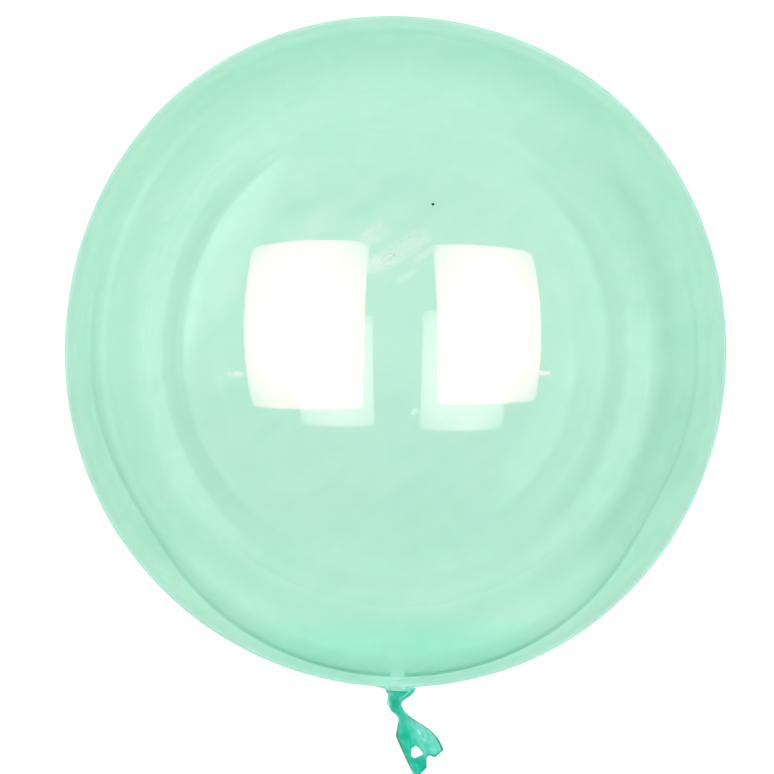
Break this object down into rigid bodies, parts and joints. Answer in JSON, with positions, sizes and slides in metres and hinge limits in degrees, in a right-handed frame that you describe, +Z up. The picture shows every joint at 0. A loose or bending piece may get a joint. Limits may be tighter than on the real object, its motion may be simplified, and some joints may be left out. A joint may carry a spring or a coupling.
{
  "type": "clear bubble balloon",
  "caption": "Round see-through mint bubble balloon lying on its side, with a twisted, half-knotted neck and a short flared tail.",
  "frame": {"origin": "on the small flat spot on the underside, straight below the middle of the bubble's waist", "axes": "+Z up, +Y along the balloon's own axis towards the crown, so the tail points along -Y, +X to the right seen from above with the crown away"},
  "size_m": [0.4498, 0.5245, 0.4488],
  "materials": {
    "tinted_film": "clear mint-tinted stretch film, glossy"
  },
  "bodies": {
    "root": {"balloon": "tinted_film"}
  },
  "joints": []
}
